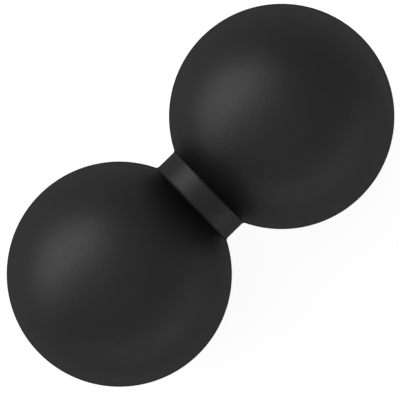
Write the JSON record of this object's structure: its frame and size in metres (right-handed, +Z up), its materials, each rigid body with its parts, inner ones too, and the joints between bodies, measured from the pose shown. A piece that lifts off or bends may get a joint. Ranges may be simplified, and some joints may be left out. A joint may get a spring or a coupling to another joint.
{
  "type": "massage ball",
  "caption": "Peanut-shaped massage ball: firm, silicone-covered balls joined end to end by a short banded waist, rolled under the back, neck or legs.",
  "frame": {"origin": "middle of the waist, on the long axis, halfway between the centres of the balls", "axes": "+X along the long axis from the left ball to the right ball, +Z up when the part lies on a floor, carried on both balls"},
  "size_m": [0.1304, 0.065, 0.065],
  "materials": {
    "silicone": "matte",
    "firm_rubber": "matte",
    "nylon": "satin"
  },
  "bodies": {
    "root": {"spine": "nylon", "core_left": "firm_rubber", "core_right": "firm_rubber", "cover_left": "silicone", "cover_right": "silicone", "waist_band": "silicone"}
  },
  "joints": []
}
